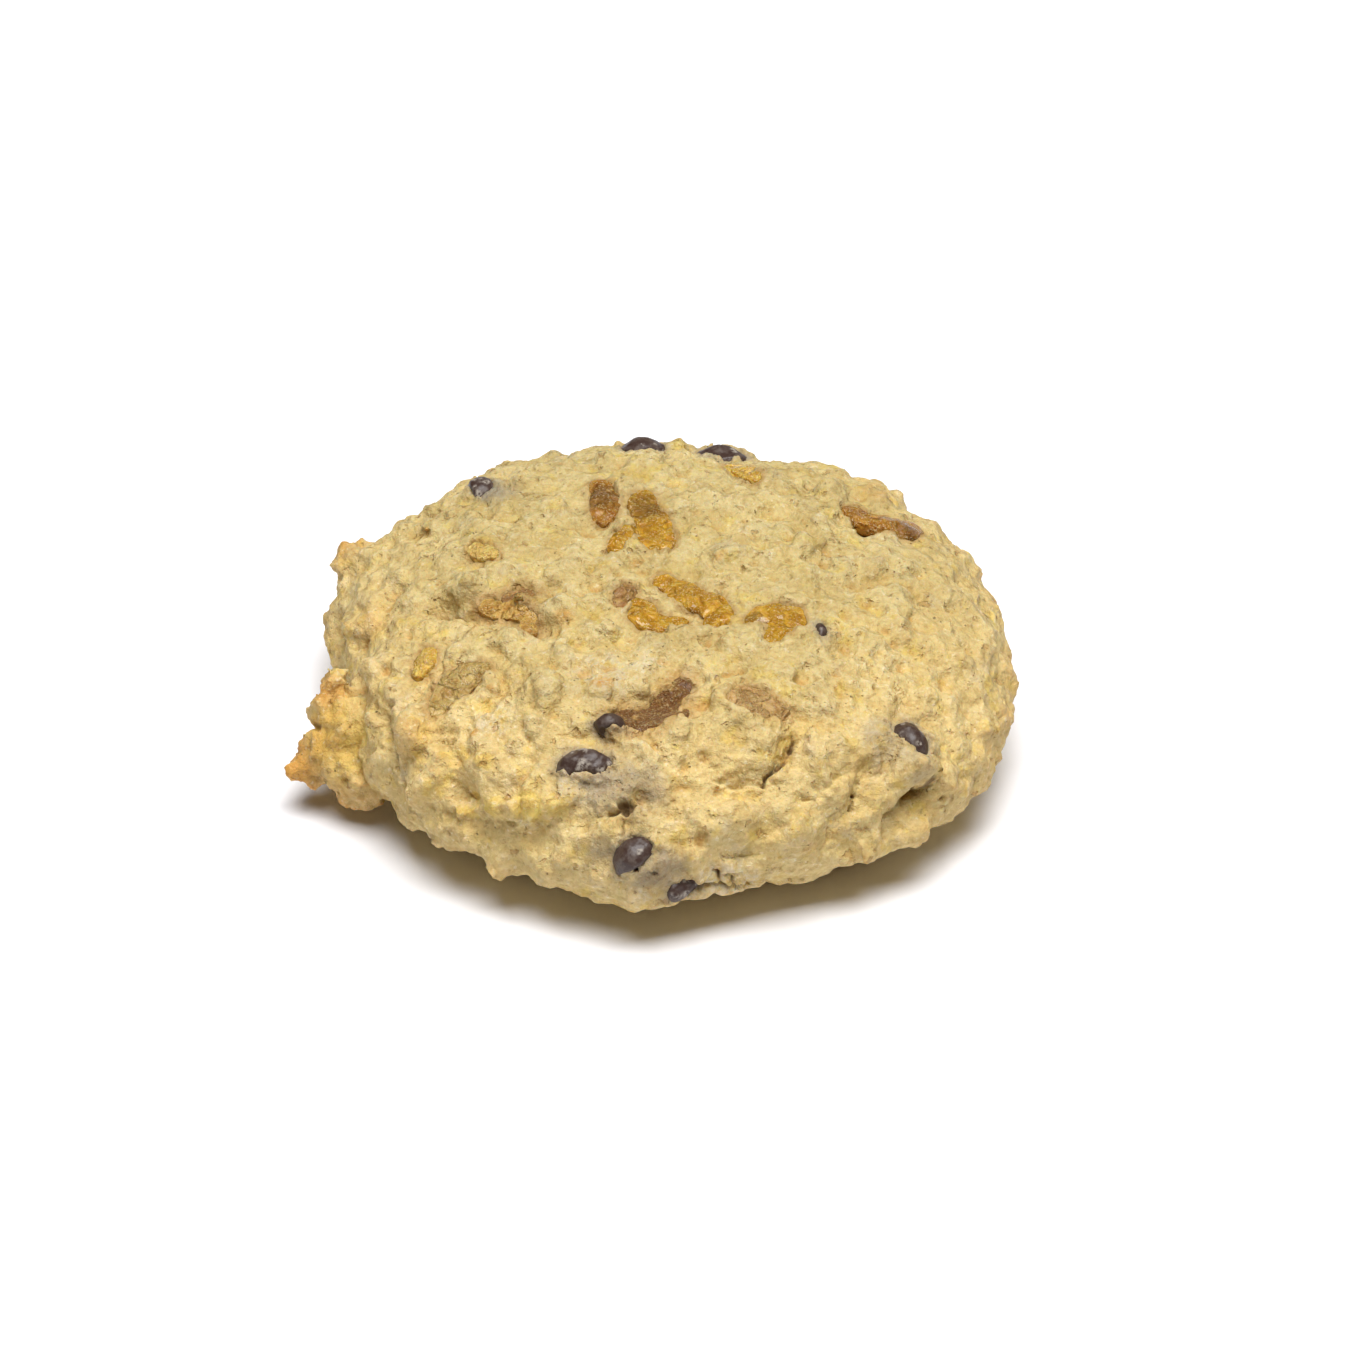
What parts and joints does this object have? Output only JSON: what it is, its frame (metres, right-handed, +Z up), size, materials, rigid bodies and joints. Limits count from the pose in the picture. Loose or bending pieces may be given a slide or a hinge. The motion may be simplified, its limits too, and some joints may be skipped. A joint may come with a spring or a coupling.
{
  "type": "cookie",
  "caption": "Thick round drop cookie with a craggy top, chocolate drops and candied orange peel set in the dough, and a toasted crumb on its side.",
  "frame": {"origin": "middle of the flat baked base, on the surface the cookie rests on", "axes": "+Z up through the crown; +X to the right, away from the side with the baked-on crumb; -Y the front"},
  "size_m": [0.0953, 0.0916, 0.0275],
  "materials": {
    "dough": "matt pale golden baked dough, toasted on its lumps",
    "chocolate": "dark chocolate with a faint grey bloom, part glossy",
    "peel": "translucent amber candied peel, sticky and glossy"
  },
  "bodies": {
    "root": {"chocolate_drop_1": "chocolate", "chocolate_drop_2": "chocolate", "chocolate_drop_3": "chocolate", "chocolate_drop_4": "chocolate", "chocolate_drop_5": "chocolate", "chocolate_drop_6": "chocolate", "chocolate_drop_7": "chocolate", "chocolate_drop_8": "chocolate", "chocolate_drop_9": "chocolate", "dough": "dough", "orange_peel_1": "peel", "orange_peel_10": "peel", "orange_peel_11": "peel", "orange_peel_12": "peel", "orange_peel_13": "peel", "orange_peel_14": "peel", "orange_peel_15": "peel", "orange_peel_16": "peel", "orange_peel_2": "peel", "orange_peel_3": "peel", "orange_peel_4": "peel", "orange_peel_5": "peel", "orange_peel_6": "peel", "orange_peel_7": "peel", "orange_peel_8": "peel", "orange_peel_9": "peel"}
  },
  "joints": []
}
